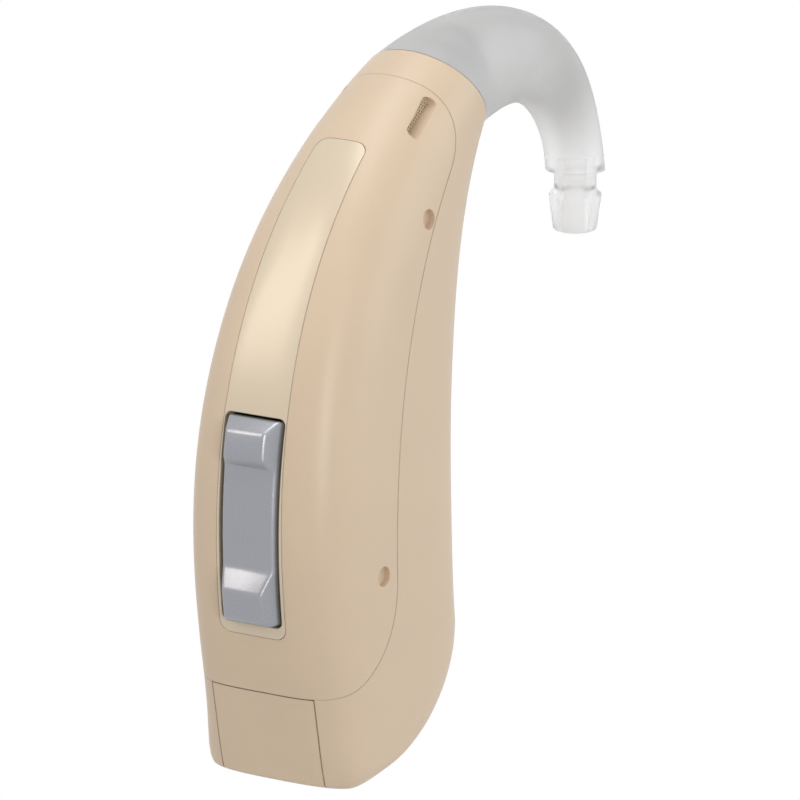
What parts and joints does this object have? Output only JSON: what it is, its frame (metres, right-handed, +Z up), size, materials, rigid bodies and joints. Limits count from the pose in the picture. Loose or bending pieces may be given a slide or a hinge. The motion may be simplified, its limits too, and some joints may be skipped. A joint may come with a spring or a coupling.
{
  "type": "behind-the-ear hearing aid",
  "caption": "Behind-the-ear hearing aid with a sprung volume rocker, a hinged battery door, a removable ear hook and a sealed electronics module",
  "frame": {"origin": "under the middle of the whole object, on the level of its lowest point", "axes": "z up along the worn height, x from the convex spine with the controls towards the ear side and the sound hook, y across the symmetric housing"},
  "size_m": [0.0319, 0.0094, 0.0361],
  "materials": {
    "shell_plastic": "beige moulded plastic, satin",
    "plate_lacquer": "glossy champagne lacquer",
    "rocker_metallic": "satin blue-grey metallic paint",
    "steel": "bright nickel-plated steel",
    "screen_metal": "fine perforated screen",
    "dark_plastic": "filled moulding plastic",
    "soft_rubber": "soft silicone rubber",
    "clear_silicone": "milky silicone tubing",
    "hook_translucent": "frosted translucent nylon",
    "damper_mesh": "fine damping mesh",
    "capsule_metal": "drawn nickel can",
    "board_green": "solder-masked board",
    "chip_black": "moulded epoxy",
    "copper_coil": "enamelled copper winding",
    "contact_gold": "gold-plated spring metal",
    "pin_coated": "beige coated steel",
    "grommet_blue": "nylon seal"
  },
  "bodies": {
    "housing": {"back_cover": "shell_plastic", "front_housing": "shell_plastic", "control_plate": "plate_lacquer", "rocker_pin": "steel", "switch_carrier": "dark_plastic", "switch_domes": "contact_gold", "microphone_screen_left": "screen_metal", "microphone_screen_right": "screen_metal", "front_microphone": "capsule_metal", "rear_microphone": "capsule_metal", "front_microphone_boot": "soft_rubber", "rear_microphone_boot": "soft_rubber", "inner_frame": "dark_plastic", "circuit_board": "board_green", "signal_processor": "chip_black", "memory_chip": "chip_black", "telecoil": "copper_coil", "receiver": "capsule_metal", "receiver_boot": "soft_rubber", "receiver_tube": "clear_silicone", "hook_nozzle": "steel", "nozzle_seal": "soft_rubber", "upper_cross_pin": "pin_coated", "lower_cross_pin": "pin_coated", "program_cover": "shell_plastic", "program_contacts": "contact_gold", "battery_contact_positive": "contact_gold", "battery_contact_negative": "contact_gold", "door_hinge_pin": "steel"},
    "rocker": {"rocker": "rocker_metallic"},
    "battery_drawer": {"battery_door": "shell_plastic", "battery_can": "steel", "battery_grommet": "grommet_blue", "battery_cap": "steel"},
    "hook": {"ear_hook": "hook_translucent", "hook_damper": "damper_mesh"}
  },
  "joints": [
    {"name": "rocker_tilt", "type": "hinge", "parent": "housing", "child": "rocker", "pos_m": [-0.01468, 0, 0.01375], "axis": [0, 1, 0], "range_deg": [-4, 4], "stiffness_Nm_per_rad": 0.03},
    {"name": "battery_door_swing", "type": "hinge", "parent": "housing", "child": "battery_drawer", "pos_m": [-0.00555, 0, 0.0026], "axis": [0, -1, 0], "range_deg": [0, 80]},
    {"name": "hook_pull", "type": "slide", "parent": "housing", "child": "hook", "axis": [0.866, 0, 0.5], "range_m": [0, 0.004]}
  ]
}
